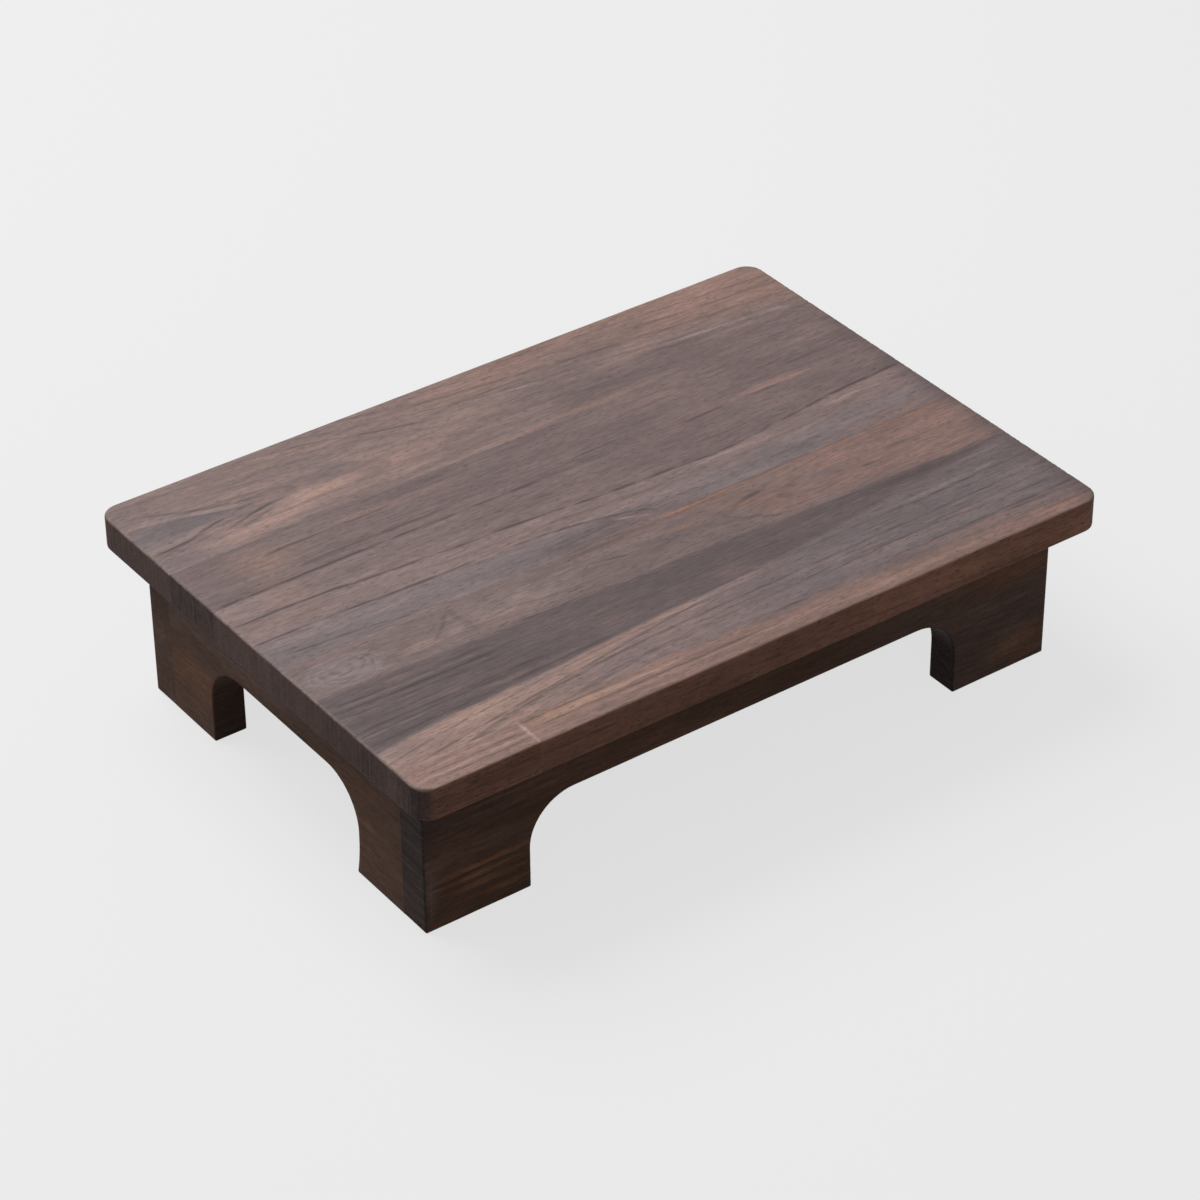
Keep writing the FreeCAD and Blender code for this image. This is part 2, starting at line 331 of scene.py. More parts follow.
def rings(net, figure, along, across, depth, stray, broken):
    """Late wood as a finish shows it, and a way to ask for it at a place"""
    centre, ask_centre = drift(net, along, figure.centre)
    below, ask_below = drift(net, along, figure.below)
    sideways = sums(net, "MULTIPLY_ADD", stray, figure.wander * 2, less(net, across, centre))
    under_face = sums(net, "MULTIPLY_ADD", depth, figure.inward, -figure.face * figure.inward)
    away = length_of(net, sideways, less(net, below, under_face))
    growth = {"W": away, "Scale": RING_NOISE / figure.ring, "Detail": 1.0}
    uneven = add(net, "TexNoise", growth, noise_dimensions="1D").outputs["Fac"]
    year = sums(net, "MULTIPLY_ADD", uneven, RING_UNEVEN, sums(net, "DIVIDE", away, figure.ring))
    season = sums(net, "FRACT", year)
    boldness = add(net, "TexWhiteNoise", {"W": sums(net, "FLOOR", year)}, noise_dimensions="1D").outputs["Value"]
    late = times(net, eased(net, season, 0.35, 0.9), eased(net, season, 0.93, 1.0, 1.0, 0.0),
                 sums(net, "POWER", boldness, 1.5), eased(net, broken, 0.35, 0.6, 0.35, 1.0))

    def late_wood(spot):
        """From 0 in early wood to 1 in late wood"""
        a, c, d = (spot[axis] / MM for axis in figure.grain)
        under = (d - figure.face) * figure.inward
        years = math.hypot(c - ask_centre(a), ask_below(a) - under) / figure.ring
        part = years - math.floor(years)
        return min(max((part - EARLY) / TO_LATE, 0.0), 1.0) * min(1.0, (1.0 - part) / BACK)

    return late, late_wood


# %% [markdown]
# A board's own marks come over its ground colour one kind after another. First come the changes of colour along a line
# and the warm and cool patches, which fray into the fibres at their rims.

# %% Changes of colour and patches
def with_shades(net, colour, shades, along, frayed):
    for shade in shades:
        line, _ = drift(net, along, shade.line)
        past = times(net, less(net, frayed, line), shade.side)
        amount = eased(net, past, -shade.feather, shade.feather)
        if shade.grows:
            amount = times(net, amount, eased(net, along, *shade.grows))
        colour = mixed(net, amount, colour, shade.colour)
    return colour


def from_middle(net, along, across, oval):
    """How far a place lies from the middle of an oval: 1 at its rim"""
    place_along, place_across, half_length, half_width = oval
    far_along = sums(net, "DIVIDE", less(net, along, place_along), half_length)
    far_across = sums(net, "DIVIDE", less(net, across, place_across), half_width)
    return length_of(net, far_along, far_across)


def with_patches(net, colour, patches, along, frayed, broken):
    for *oval, strength, patch_colour in patches:
        within = eased(net, from_middle(net, along, frayed, oval), 0.2, 1.2, strength, 0.0)
        within = times(net, within, eased(net, broken, 0.25, 0.6, 0.55, 1.0))
        colour = mixed(net, within, colour, patch_colour)
    return colour


# %% [markdown]
# Then come the knots and the veins. A knot is a nest of uneven rings in paler wood. A vein is a dark line, or a light
# one, that breaks up along its length and fades at both ends.

# %% Knots and veins
LINE_COLOUR = tint(58, 44, 41)
KNOT_COLOUR = tint(134, 120, 119)
KNOT_RINGS, KNOT_SHARE = 3.5, 0.55
LONGEST_FADE = 20.0


def with_knots(net, colour, knots, along, across, broken, cloud):
    for knot in knots:
        far = from_middle(net, along, across, knot)
        uneven = sums(net, "MULTIPLY_ADD", less(net, cloud, 0.5), 1.2, far)
        turn = sums(net, "FRACT", times(net, uneven, KNOT_RINGS))
        ring = times(net, eased(net, turn, 0.1, 0.7), eased(net, turn, 0.7, 1.0, 1.0, 0.0),
                     eased(net, broken, 0.4, 0.6, 0.08, 0.38))
        inside = eased(net, uneven, 0.7, 1.2, 1.0, 0.0)
        colour = mixed(net, times(net, inside, KNOT_SHARE), colour, KNOT_COLOUR)
        colour = mixed(net, times(net, inside, ring), colour, LINE_COLOUR)
    return colour


def with_veins(net, colour, veins, along, across, broken):
    for vein in veins:
        run, off = (across, along) if vein.turned else (along, across)
        line, _ = drift(net, run, vein.line)
        near = sums(net, "ABSOLUTE", less(net, off, line))
        reach = eased(net, broken, 0.3, 0.7, 0.8 * vein.width, 1.8 * vein.width)
        begin, end = vein.line[0][0], vein.line[-1][0]
        fade = 0.3 * min(LONGEST_FADE, end - begin)
        core = times(net, eased(net, near, 0.2 * vein.width, reach, vein.strength, 0.0),
                     eased(net, run, begin - fade / 2, begin + fade),
                     eased(net, run, end - fade, end + fade / 2, 1.0, 0.0),
                     eased(net, broken, 0.36, 0.56, 0.3, 1.0))
        colour = mixed(net, core, colour, vein.colour or LINE_COLOUR)
    return colour


# %% [markdown]
# The sides of the top keep the brown of the stain, and painted light makes them lighter towards the right. End grain
# drinks more stain, so the ends are darker and greyer, with fine upright streaks. Round a corner the end grain comes
# in little by little.

# %% Sides and ends
SIDE_COLOUR, SIDE_PAINTED_LIGHT = tint(122, 87, 71), tint(149, 107, 88)
GREY_END, GREY_SHARE = tint(119, 98, 94), 0.7
END_COLOUR = tint(41, 34, 33)
END_STREAK = tint(68, 60, 59)


def with_sides(net, colour, along, normal, end_grain):
    above = eased(net, normal["Z"], 0.35, 0.85, 0.8, 0.0)
    upright = sums(net, "MINIMUM", above, eased(net, normal["Z"], -0.99, -0.93, 0.0, 0.8))
    # painted light: the sides turn from their brown to a lighter brown towards the right end
    side = mixed(net, eased(net, along, -0.7 * REACH, REACH), SIDE_COLOUR, SIDE_PAINTED_LIGHT)
    side = mixed(net, times(net, end_grain, GREY_SHARE), side, GREY_END)
    return mixed(net, upright, colour, side)


def with_ends(net, colour, figure, place, cloud, end_grain):
    streaked = marks(net, place, figure.grain[2], END_LINE, figure.seed)
    end_colour = mixed(net, eased(net, streaked, 0.35, 0.65), END_COLOUR, END_STREAK)
    uneven = eased(net, cloud, 0.35, 0.65, 0.75 * figure.end_dark, 1.1 * figure.end_dark)
    return mixed(net, times(net, end_grain, uneven), colour, end_colour)


# %% [markdown]
# The brushed finish brings these together. A wire brush takes out the soft early wood of each ring and leaves the
# hard late wood standing, then a thin coat of oil wax is rubbed in. So the late wood is a fine dark line, the pores
# are short dark dashes, and the sheen changes from ring to ring. The top is greyer than its sides, where it has been
# rubbed most, and its arrises are worn light in places. The boards of the base stay matt, with painted shade
# underneath.

# %% Brushed wood finish
PORE_COLOUR, PORE_SHARE = tint(52, 39, 36), 0.5
WARM_COLOUR, WARM_SHARE = tint(142, 108, 94), 0.2
WORN_COLOUR = tint(166, 140, 129)
MATT, TOP_SHEEN = 0.03, 0.35
RELIEF = 0.25 * MM


def brushed_wood(name, figure, of_top=False):
    """A finish for one board, and a way to ask for its late wood at a place"""
    finish, net, shader = new_finish(name)
    place = millimetres(net)
    axes = add(net, "SeparateXYZ", {0: place}).outputs
    along, across, depth = (axes[axis] for axis in figure.grain)
    normal = add(net, "SeparateXYZ", {0: add(net, "NewGeometry").outputs["Normal"]}).outputs
    stray, fibre, streak, cloud, pore, broken, mottle = (
        marks(net, place, figure.grain[0], kind, figure.seed)
        for kind in (STRAY, FIBRE, STREAK, CLOUD, PORE, BREAK, MOTTLE))
    stray = less(net, stray, 0.5)
    pore = eased(net, pore, 0.58, 0.70)
    late, late_wood = rings(net, figure, along, across, depth, stray, broken)

    waving = sums(net, "MULTIPLY_ADD", stray, 2.0, across)
    frayed = sums(net, "MULTIPLY_ADD", less(net, broken, 0.5), 3.0, waving)
    frayed = sums(net, "MULTIPLY_ADD", less(net, fibre, 0.5), 2.0, frayed)
    colour = with_shades(net, figure.colour, figure.shades, along, frayed)
    colour = with_patches(net, colour, figure.patches, along, frayed, broken)
    colour = with_knots(net, colour, figure.knots, along, waving, broken, cloud)
    colour = with_veins(net, colour, figure.veins, along, waving, broken)
    warm = times(net, eased(net, cloud, 0.48, 0.70), eased(net, streak, 0.40, 0.62), WARM_SHARE)
    colour = mixed(net, warm, colour, WARM_COLOUR)
    full_end = sums(net, "MULTIPLY_ADD", normal["Z"], -0.6, 0.85)
    end_grain = eased(net, sums(net, "ABSOLUTE", normal[figure.grain[0]]), 0.1, full_end)
    if of_top:
        colour = with_sides(net, colour, along, normal, end_grain)
    colour = with_ends(net, colour, figure, place, cloud, end_grain)

    shade = times(net, eased(net, fibre, 0.25, 0.75, 0.84, 1.16), eased(net, streak, 0.3, 0.7, 0.95, 1.05),
                  eased(net, cloud, 0.3, 0.7, 0.88, 1.12), eased(net, mottle, 0.3, 0.7, 0.93, 1.07))
    # painted shade: on the base boards, faces that turn downwards are darkened, to half at the underside
    if not of_top:
        shade = times(net, shade, eased(net, normal["Z"], -0.8, -0.1, 0.5, 1.0))
    shade = add(net, "CombineColor", {0: shade, 1: shade, 2: shade}).outputs[0]
    colour = mixed(net, 1.0, colour, shade, "MULTIPLY")
    colour = mixed(net, times(net, late, figure.lines), colour, LINE_COLOUR)
    colour = mixed(net, times(net, pore, PORE_SHARE), colour, PORE_COLOUR)

    gloss = eased(net, sums(net, "ADD", fibre, late), 0.3, 1.0, 0.60, 0.44)
    height = sums(net, "MULTIPLY_ADD", pore, -0.8, sums(net, "MULTIPLY_ADD", late, 0.5, fibre))
    bump = add(net, "Bump", {"Height": height, "Strength": 0.35, "Distance": RELIEF}).outputs[0]
    fill(net, shader, {"Roughness": gloss, "Normal": bump, "Specular IOR Level": MATT})
    if of_top:
        worn = add(net, "Attribute", attribute_name="worn").outputs["Fac"]
        colour = mixed(net, times(net, worn, eased(net, cloud, 0.35, 0.65, 0.1, 0.55)), colour, WORN_COLOUR)
        fill(net, shader, {"Specular IOR Level": eased(net, normal["Z"], 0.35, 0.85, MATT, TOP_SHEEN)})
    fill(net, shader, {"Base Color": colour})
    return finish, late_wood


# %% [markdown]
# The figures of the top. The staves come from different boards, so each has its own path of the tree's centre and its
# own colours, from a dusky grey brown to tan, with a few places where the wood is as light as honey.

# %% Colours of the top
SLATE = tint(103, 90, 91)
SMOKE = tint(105, 87, 85)
DUSK = tint(86, 71, 71)
ROSE = tint(121, 101, 98)
TAN = tint(130, 102, 93)
HONEY = tint(158, 128, 116)
PALE_LINE = tint(146, 126, 122)
MIST = tint(112, 98, 98)
DOVE = tint(111, 92, 89)
BUFF = tint(145, 117, 108)
FAWN = tint(121, 94, 87)
EMBER = tint(138, 100, 84)
BARK = tint(108, 86, 80)
COCOA = tint(92, 72, 67)
AMBER = tint(162, 126, 104)
CHALK = tint(178, 152, 144)
TOP_FACE = 100.0
LAID_FLAT = dict(grain=(X, Y, Z), face=TOP_FACE, inward=-1)
# painted shade: the last few millimetres at the right end of each stave turn to dusk
RIGHT_END_SHADE = Shade([(-200, 150), (200, 150)], -1, 1.0, DUSK, (184, 204))

# %% [markdown]
# The back stave has the boldest figure: at its left end a grey wedge points inwards between two bright lines, with a
# fan of dark veins under it, and then a patch of honey. To the right its front half turns grey.

# %% Back stave
back_stave = Figure(
    **LAID_FLAT, ring=3.6, seed=1.0, colour=tint(117, 97, 93),
    centre=[(-200, 101), (-138, 102), (-60, 92), (0, 82), (100, 74), (200, 68)],
    below=[(-200, 7), (-180, 13.8), (-160, 16.5), (-138, 17.5), (-60, 25), (0, 30), (100, 33), (200, 35)],
    shades=(
        Shade([(-120, 126), (-40, 118), (0, 117), (40, 118), (115, 110), (160, 105), (200, 98)],
              1, 6.0, TAN, (-90, 60)),
        Shade([(-60, 106), (0, 112), (40, 107), (115, 99), (160, 95), (200, 89)], -1, 2.5, SMOKE, (-10, 70)),
        Shade([(-200, 116), (-174, 111.5), (-158, 106.5), (-140, 101), (-130, 92)], -1, 1.8, SLATE, (-132, -142)),
        Shade([(-200, 96), (-174, 98), (-150, 101), (-135, 104)], -1, 2.5, ROSE, (-120, -140)),
    ),
    patches=(
        (-103, 91, 30, 7, 1.0, HONEY), (-145, 80, 36, 6, 0.8, HONEY), (-128, 84, 20, 5, 0.6, HONEY),
        (-48, 97, 34, 4.5, 0.5, TAN), (-85, 104, 22, 5, 0.35, SLATE), (50, 75.5, 66, 2.6, 0.8, TAN),
        (-120, 128, 60, 7, 0.4, TAN), (-15, 104, 44, 9, 0.5, BUFF), (-70, 82, 44, 6, 0.4, BUFF),
        (-56, 92, 32, 7, 1.0, BUFF), (-18, 85, 26, 5, 0.5, BUFF), (72, 123, 48, 14, 0.6, SMOKE),
        (-166, 92.5, 13, 2.2, 0.6, HONEY), (-189, 79, 16, 9, 0.7, SLATE), (-122, 100, 18, 5, 0.6, BUFF),
        (-66, 102, 20, 5, 0.5, BUFF),
    ),
    veins=(
        Vein([(-200, 118), (-174, 113), (-158, 107.5), (-139, 102.5)], 1.9, 0.5, PALE_LINE),
        Vein([(-187, 122.5), (-170, 115.5), (-155, 110), (-127, 103.5)], 1.1, 0.45),
        Vein([(-200, 115), (-174, 109.6), (-145, 101.5)], 0.9, 0.35),
        Vein([(-199, 88.4), (-180, 90.3), (-168, 94), (-155, 97.6), (-137, 101)], 1.1, 0.75),
        Vein([(-200, 92), (-178, 94.5), (-165, 97.5)], 1.9, 0.4, PALE_LINE),
        Vein([(-158, 88), (-150, 89.8), (-143, 92), (-127, 96.4)], 1.1, 0.8),
        Vein([(-172, 82), (-160, 84.3), (-150, 86), (-140, 88.4), (-129, 91.4)], 1.1, 0.65),
        Vein([(-174, 72.6), (-155, 73)], 0.9, 0.5),
        Vein([(-124, 136), (-88, 130), (-68, 124), (-47, 117), (-29, 112.5)], 1.0, 0.6),
        Vein([(-24, 122), (0, 117), (20, 116)], 0.9, 0.6),
        Vein([(70, 122), (110, 121.5), (150, 119.5), (190, 118)], 1.1, 0.3),
        Vein([(0, 114), (40, 108)], 0.9, 0.6, PALE_LINE),
        Vein([(112, 99.5), (160, 96.5), (190, 91.5)], 1.2, 0.5, PALE_LINE),
        Vein([(110, 96.5), (132, 94.5)], 0.9, 0.6),
    ),
)

# %% [markdown]
# The second stave is plain and straight in the grain. The third has two long dark veins: one crosses it in a shallow
# sag, and the other bends down and runs out at the joint near the middle.

# %% Second and third staves
stave_2 = Figure(
    **LAID_FLAT, ring=2.4, seed=2.0, colour=SMOKE, lines=0.5, wander=2.0, end_dark=0.85,
    centre=[(-200, -40), (0, -44), (200, -36)], below=[(-200, 75), (0, 79), (200, 70)],
    shades=(RIGHT_END_SHADE,),
    patches=(
        (134, 38, 28, 3.6, 0.9, TAN), (-160, 56, 22, 14, 0.45, WARM_COLOUR), (-165, 38, 16, 6, 0.35, WARM_COLOUR),
        (-60, 66, 60, 5, 0.5, DUSK), (72, 37, 38, 4.5, 0.75, DUSK), (8, 34.5, 40, 3, 0.5, DUSK),
        (168, 42, 36, 5, 0.45, DUSK), (78, 60, 34, 7, 0.35, DUSK),
    ),
    veins=(
        Vein([(-156, 59), (-100, 59.4), (-46, 59.2)], 0.9, 0.7), Vein([(-160, 42), (-110, 42), (-60, 41)], 1.3, 0.6),
        Vein([(-196, 34.6), (-100, 35.2), (-15, 34.4)], 0.9, 0.9),
        Vein([(-198, 46), (-150, 46.5)], 0.8, 0.5, PALE_LINE), Vein([(104, 65), (128, 64.6)], 1.0, 0.5),
        Vein([(14, 41), (42, 41.2)], 1.0, 0.5), Vein([(74, 33.8), (100, 34.4), (140, 35)], 1.0, 0.6),
        Vein([(150, 47.5), (196, 48)], 1.0, 0.5),
    ),
)
SAG = [(-200, 16.9), (-153, 16.5), (-128, 13.9), (-83, 11.2), (-47, 9.6), (0, 6), (42, 4.2), (72, 2.6), (111, 6.2),
       (130, 8.6), (167, 12.2), (200, 14.4)]
stave_3 = Figure(
    **LAID_FLAT, ring=4.0, seed=3.0, colour=SMOKE, lines=0.3, wander=2.0,
    centre=[(-200, -45), (0, -45), (200, -45)],
    below=[(-200, 19), (-100, 28.5), (-40, 35), (0, 37.6), (60, 43), (100, 41.8), (165, 33), (200, 27.5)],
    shades=(
        Shade([(-200, 60), (200, 60)], -1, 1.0, ROSE, (20, -150)),
        Shade(SAG, -1, 0.8, ROSE),
        Shade([(-200, -1.5), (-100, -3.8), (-47, -5.4), (-21, -8), (0, -10), (40, -8), (200, -6)], -1, 3.0, MIST),
        RIGHT_END_SHADE,
    ),
    patches=(
        (-175, 9, 30, 5, 0.6, TAN), (-163, 24, 14, 9, 0.4, WARM_COLOUR), (68, 0, 22, 1.6, 0.6, PALE_LINE),
        (155, 5, 14, 2, 0.6, HONEY), (-5, -20, 58, 9.5, 1.0, DUSK), (165, -20, 48, 5, 0.9, BARK),
        (-103, 17, 18, 4, 0.6, DUSK), (-32, -2, 62, 6.5, 0.7, SMOKE), (76, -11, 22, 5, 0.5, ROSE),
        (-128, 25, 20, 7, 0.4, SMOKE),
    ),
    veins=(
        Vein(SAG, 1.1, 0.85),
        Vein([(-200, -1.5), (-146, -2), (-100, -3.8), (-72, -3.6), (-47, -5.4), (-21, -8), (0, -12.6), (12, -16),
              (19, -22)], 0.9, 0.85),
        Vein([(-4, -15), (4, -18), (14, -22)], 0.8, 0.8, PALE_LINE),
        Vein([(-190, -16), (-155, -19), (-124, -23), (-106, -24.3)], 0.9, 0.6),
        Vein([(62, 17), (84, 15.5)], 1.2, 0.45), Vein([(-60, 24), (-12, 21)], 0.9, 0.4),
    ),
)

# %% [markdown]
# The fourth and fifth staves share a line where the wood turns from rosy grey to dusk, which crosses their joint at a
# slant. Above it lie a pale knot, a faint fork beside it and one light pointed loop; below it the dusky wood narrows to
# the right over a bright wedge.

# %% Fourth and fifth staves
LOOP_TOP = [(42, -46), (55, -40), (70, -36.5), (84, -32), (110, -28), (200, -26)]
LOOP_FOOT = [(42, -46.5), (55, -54), (67, -60), (84, -63.5), (120, -68), (200, -80)]
DUSK_LINE = [(-200, -54.5), (0, -61), (200, -67.5)]
WEDGE_TOP = [(-200, -105), (-177, -101.4), (-158, -99.5), (-123, -98.6), (-92, -96.9), (-47, -93.8), (0, -91.6),
             (60, -88.6), (110, -87.5), (200, -84)]
WEDGE_FOOT = [(-186, -120.5), (-162, -116), (-130, -111.6), (-100, -107), (-72, -103.3), (-47, -99.5), (-10, -95)]
stave_4 = Figure(
    **LAID_FLAT, ring=2.6, seed=4.0, colour=DOVE, lines=0.5, wander=1.2,
    centre=[(-200, -42), (-117, -40), (0, -45), (52, -46.5), (120, -45), (200, -45)],
    below=[(-200, 12), (-177, 7), (-157, 16), (-117, 18.5), (-90, 17.5), (-60, 15.5), (-30, 16),
           (-18, 16.2), (17, 18), (52, 16), (80, 13.4), (110, 10.4), (140, 5.6), (200, 6)],
    shades=(
        Shade([(-200, 0), (200, 0)], -1, 1.0, SLATE, (-120, -165)),
        Shade([(-200, 0), (200, 0)], -1, 1.0, FAWN, (90, 200)),
        Shade(LOOP_TOP, -1, 2.5, FAWN, (42, 66)), Shade(LOOP_FOOT, -1, 2.0, DOVE, (160, 80)),
        Shade(DUSK_LINE, -1, 1.5, DUSK), RIGHT_END_SHADE,
    ),
    patches=(
        (-165, -50, 12, 3.5, 0.7, PALE_LINE), (-117, -46, 6, 5, 0.3, PALE_LINE), (-88, -39, 24, 8, 0.4, PALE_LINE),
        (-70, -43, 40, 9, 0.2, PALE_LINE), (5, -45, 34, 6, 0.7, SMOKE), (-12, -29, 46, 4.5, 0.7, COCOA),
        (40, -27.5, 36, 2.4, 0.6, EMBER), (-137, -46.5, 13, 4, 0.4, HONEY), (100, -44, 22, 5, 0.5, SLATE),
        (48, -32, 46, 5, 0.7, FAWN), (-128, -30, 17, 5, 0.9, SMOKE),
        (52, -40, 16, 4, 0.5, EMBER), (-126, -42, 14, 5, 0.5, SMOKE),
    ),
    knots=((-176, -41.5, 20, 12.5),),
    veins=(
        Vein([(-48, -131), (-44, -125.5), (-38, -119), (-31, -113), (-27, -107)], 2.0, 0.46, turned=True),
        Vein([(-52, -109), (-46, -108.6), (-41, -109.4), (-35, -110.6), (-29, -107)], 2.3, 0.36, turned=True),
        Vein([(-60, -37), (-28, -41), (-12, -49.5)], 1.0, 0.45),
        Vein([(40, -45), (45, -49), (55, -55), (67, -60.5), (80, -63)], 1.4, 0.45),
        Vein([(38, -46.5), (46, -43.6), (55, -39.5), (70, -35.6), (84, -31)], 1.4, 0.35),
        Vein([(10, -39), (30, -41.5), (42, -45.6)], 1.6, 0.45, EMBER), Vein([(56, -38.4), (70, -38)], 1.2, 0.6),
        Vein([(121, -49.4), (128, -50.4), (136, -51)], 0.9, 0.5),
        Vein([(14, -26.6), (60, -26.2), (120, -26.2), (196, -26.6)], 3.2, 0.6, EMBER),
        Vein([(-52, -26), (0, -25.8), (60, -25.6), (120, -25.6), (196, -25.8)], 0.9, 0.5),
        Vein([(-90, -58), (-47, -59)], 0.9, 0.7),
    ),
)
stave_5 = Figure(
    **LAID_FLAT, ring=2.6, seed=5.0, colour=DUSK, lines=0.65, wander=1.6, end_dark=0.7,
    centre=[(-200, -130), (0, -130), (200, -130)],
    below=[(-200, 40), (-130, 34), (-60, 28), (60, 25), (200, 22.5)],
    shades=(
        Shade(DUSK_LINE, 1, 1.5, DOVE), Shade(DUSK_LINE, 1, 1.5, FAWN, (70, 190)),
        Shade(WEDGE_TOP, -1, 1.5, SLATE), Shade(WEDGE_TOP, -1, 1.5, BUFF, (70, -50)),
        Shade(WEDGE_FOOT, -1, 2.5, ROSE, (-150, -60)), Shade(WEDGE_FOOT, -1, 4.0, SLATE, (-40, 55)), RIGHT_END_SHADE,
    ),
    patches=(
        (-146, -107, 32, 9, 0.8, HONEY), (-70, -98, 40, 2.4, 0.3, HONEY), (30, -93, 22, 3, 0.3, TAN),
        (-141, -118, 24, 4.5, 0.9, HONEY), (-191, -107, 14, 6, 0.6, ROSE), (-8, -117, 42, 4, 0.5, SLATE),
        (135, -80, 22, 5, 0.5, DUSK), (-112, -100, 26, 3, 0.4, ROSE),
        (-110, -87, 40, 3.5, 0.5, LINE_COLOUR), (130, -70, 36, 2.6, 0.6, LINE_COLOUR),
    ),
    veins=(
        Vein([(-200, -67.6), (-172, -69.5), (-136, -70.2), (-110, -70.2)], 1.1, 1.0),
        Vein([(-198, -62.5), (-170, -64.4), (-110, -63.4)], 0.9, 0.8),
        Vein([(-198, -65.3), (-150, -67), (-118, -66.6)], 0.9, 0.22, PALE_LINE),
        Vein([(-200, -73.3), (-145, -75.9)], 1.0, 0.22, PALE_LINE),
        Vein([(-197, -91.2), (-160, -90.8)], 0.9, 0.25, PALE_LINE),
        Vein([(-196, -73), (-150, -74.5), (-100, -74)], 0.9, 0.7),
        Vein([(-199, -81), (-140, -81.5), (-90, -81)], 0.9, 0.5),
        Vein([(-198, -86), (-150, -86), (-96, -86.5)], 0.9, 0.8),
        Vein([(-198, -89.4), (-160, -88.6), (-110, -88.6)], 0.9, 0.7),
        Vein([(-60, -76), (0, -77), (60, -77)], 0.9, 0.4),
        Vein([(-200, -97.5), (-162, -96.6), (-130, -94.4), (-92, -93.2), (-60, -91.6)], 1.3, 0.8),
        Vein(WEDGE_TOP[:3], 1.0, 0.5, PALE_LINE), Vein(WEDGE_FOOT, 0.9, 0.6),
        Vein([(-92, -119.9), (-72, -116.7), (-49, -114), (0, -113)], 0.9, 0.5),
        Vein([(50, -112.5), (75, -111), (110, -110), (150, -112), (190, -113)], 0.9, 0.6),
        Vein([(111, -89.6), (153, -89.5), (178, -87.6)], 0.9, 0.6),
        Vein([(106, -87.4), (150, -86.2), (180, -84.8)], 1.1, 0.35, PALE_LINE),
        Vein([(84, -120.2), (150, -120.4), (198, -120.6)], 1.0, 0.55),
    ),
)

# %% [markdown]
# The front stave is pieced from two lengths, both straight in the grain with bright streaks.

# %% Front stave
FRONT_GRAIN = dict(
    centre=[(-200, -228), (0, -230), (200, -234)], below=[(-200, 60), (0, 60), (200, 60)],
    ring=2.1, lines=0.5, wander=1.0,
)
front_short = Figure(
    **LAID_FLAT, **FRONT_GRAIN, seed=6.0, colour=TAN, end_dark=0.8,
    patches=(
        (-175, -122.5, 40, 1.6, 0.8, HONEY), (-160, -132, 50, 1.2, 0.8, HONEY), (-135, -130, 1.7, 13, 0.8, CHALK),
    ),
    veins=(
        Vein([(-190, -122.8), (-165, -123), (-140, -122.6)], 0.8, 0.5, BARK),
        Vein([(-196, -129.4), (-138, -129.2)], 0.8, 0.5), Vein([(-190, -134.6), (-138, -134.6)], 0.9, 0.4),
        Vein([(-196, -126.8), (-138, -126.6)], 0.6, 0.6, HONEY),
    ),
)
front_long = Figure(
    **LAID_FLAT, **FRONT_GRAIN, seed=7.0, colour=tint(126, 98, 89),
    shades=(Shade([(-70, -119), (0, -125.5), (80, -127.5), (200, -131.5)], 1, 1.2, SMOKE, (-80, -10)), RIGHT_END_SHADE),
    patches=(
        (-135, -129, 1.2, 10, 0.6, CHALK), (-108, -126, 30, 4.5, 0.8, AMBER), (-80, -126, 52, 1.8, 0.9, HONEY),
        (-40, -132, 90, 1.2, 0.5, HONEY), (90, -134, 60, 2.5, 0.5, HONEY),
    ),
    veins=(
        Vein([(-133, -123.4), (-110, -123.2), (-84, -123.4)], 0.8, 0.6),
        Vein([(-130, -129.4), (-60, -130), (0, -130.4)], 0.8, 0.55),
        Vein([(4, -125.4), (33, -122.6), (52, -123)], 1.0, 0.55),
        Vein([(120, -122), (185, -123.4), (200, -125)], 1.0, 0.5), Vein([(150, -131.4), (200, -132.6)], 0.9, 0.5),
    ),
)
stave_figures = {
    "back_edge_stave": back_stave, "stave_2": stave_2, "stave_3": stave_3, "stave_4": stave_4, "stave_5": stave_5,
    "front_edge_stave_short": front_short, "front_edge_stave_long": front_long,
}
print("staves with a figure:", len(stave_figures))

# %% [markdown]
# Each stave starts as a squared blank. These are the steps a joiner takes with it: saw it square, round the corners
# and ease the arrises that will be touched. Lines are then scored over it so that the brushing has something to work
# on; they cut the faces up and leave the shape as it is.

# %% Steps in working a board
TOUCH = 1e-6
SHARP = math.radians(60)


def sawn_blank(low, high):
    board = bmesh.new()
    bmesh.ops.create_cube(board, size=1.0)
    bmesh.ops.scale(board, vec=high - low, verts=board.verts)
    bmesh.ops.translate(board, vec=(low + high) / 2, verts=board.verts)
    return board


def lies_at(part, axis, value):
    """True where every corner of an edge or a face lies at a value on an axis"""
    return all(abs(vert.co[axis] - value) < TOUCH for vert in part.verts)


def rounded(board, edges, radius, steps):
    bmesh.ops.bevel(board, geom=edges, offset=radius, offset_type="OFFSET", segments=steps, profile=0.5,
                    affect="EDGES", material=-1, clamp_overlap=True)


def scored(board, axis, places):
    for place in places:
        point, direction = Vector(), Vector()
        point[axis], direction[axis] = place, 1.0
        everything = board.verts[:] + board.edges[:] + board.faces[:]
        bmesh.ops.bisect_plane(board, geom=everything, dist=TOUCH / 10, plane_co=point, plane_no=direction)


def spaced(low, high, step):
    """Places between two ends, evenly, about one step apart"""
    count = max(1, round((high - low) / step))
    return [low + (high - low) * index / count for index in range(1, count)]


# %% [markdown]
# Brushing takes wood away and never adds any, so each point of a worn face only moves inwards. Early wood goes down
# by less than a tenth of a millimetre on the flat, and by more on the arris over the end grain, where the brush
# catches the edge and leaves it finely notched. Along a glue joint the staves stay flush. How far an arris is worn is
# kept with the board, for its finish.

